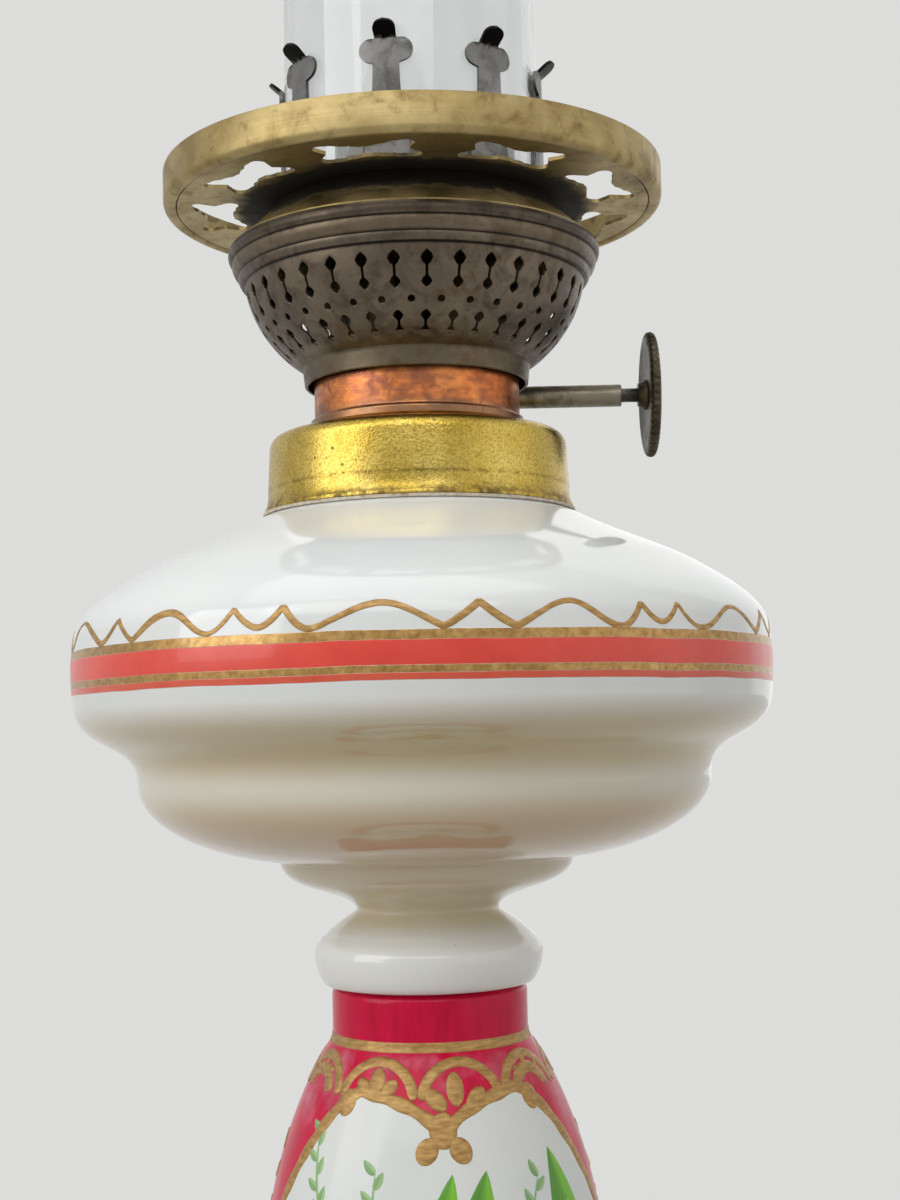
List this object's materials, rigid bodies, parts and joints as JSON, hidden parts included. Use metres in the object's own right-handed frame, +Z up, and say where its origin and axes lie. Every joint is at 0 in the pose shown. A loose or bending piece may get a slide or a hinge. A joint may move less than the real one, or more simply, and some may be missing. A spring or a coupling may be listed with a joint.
{
  "type": "argand lamp",
  "caption": "Table oil lamp with a painted opaline glass foot and font, a pierced brass side-draught burner with a thumb wheel for its tubular wick, a shade gallery and a glass chimney.",
  "frame": {"origin": "on the lamp's axis, on the table that it stands on", "axes": "+Z up along the lamp's axis, +X towards the thumb wheel, -Y towards the viewer of the picture"},
  "size_m": [0.142, 0.142, 0.5652],
  "materials": {
    "painted_opaline": "painted opaline glass, crimson neck with gilt lines and white panels, glossy",
    "opaline": "milk-white opaline glass with a coral band and gilt lines, glossy",
    "plaster": "bedding plaster, matt",
    "gilt_brass": "lacquered gilt brass with a fine grain",
    "coppered_brass": "copper-coloured brass, tarnished",
    "burner_brass": "plain burner brass, dull",
    "bronzed_brass": "dark bronzed brass, worn",
    "aged_brass": "aged brass, satin",
    "spindle_steel": "plain steel, dull",
    "wick_cotton": "woven cotton",
    "clear_glass": "clear blown glass"
  },
  "bodies": {
    "lamp_base": {"foot": "painted_opaline", "foot_plaster": "plaster", "font": "opaline", "collar_plaster": "plaster", "collar": "gilt_brass"},
    "burner": {"burner_cup": "coppered_brass", "deck_plate": "burner_brass", "outer_wick_tube": "burner_brass", "inner_air_tube": "burner_brass", "air_tube_cap": "burner_brass", "air_chute": "burner_brass", "basket": "bronzed_brass", "crown": "aged_brass", "gallery": "aged_brass", "spindle_sleeve": "aged_brass", "spindle_bracket": "burner_brass"},
    "wick_spindle": {"spindle": "spindle_steel", "sprockets": "burner_brass", "thumb_wheel": "bronzed_brass"},
    "wick": {"wick": "wick_cotton"},
    "chimney": {"chimney": "clear_glass"}
  },
  "joints": [
    {"name": "burner_lift", "type": "slide", "parent": "lamp_base", "child": "burner", "axis": [0, 0, 1], "range_m": [0, 0.1]},
    {"name": "spindle_turn", "type": "hinge", "parent": "burner", "child": "wick_spindle", "pos_m": [0.03, 0.01639, 0.27835], "axis": [-1, 0, 0], "range_deg": [-143.2, 71.6]},
    {"name": "wick_raise", "type": "slide", "parent": "burner", "child": "wick", "axis": [0, 0, 1], "range_m": [-0.008, 0.004]},
    {"name": "chimney_lift", "type": "slide", "parent": "burner", "child": "chimney", "axis": [0, 0, 1], "range_m": [0, 0.05]}
  ],
  "couplings": [
    {"joint": "wick_raise", "follows": "spindle_turn", "m_per_rad": 0.0032}
  ]
}
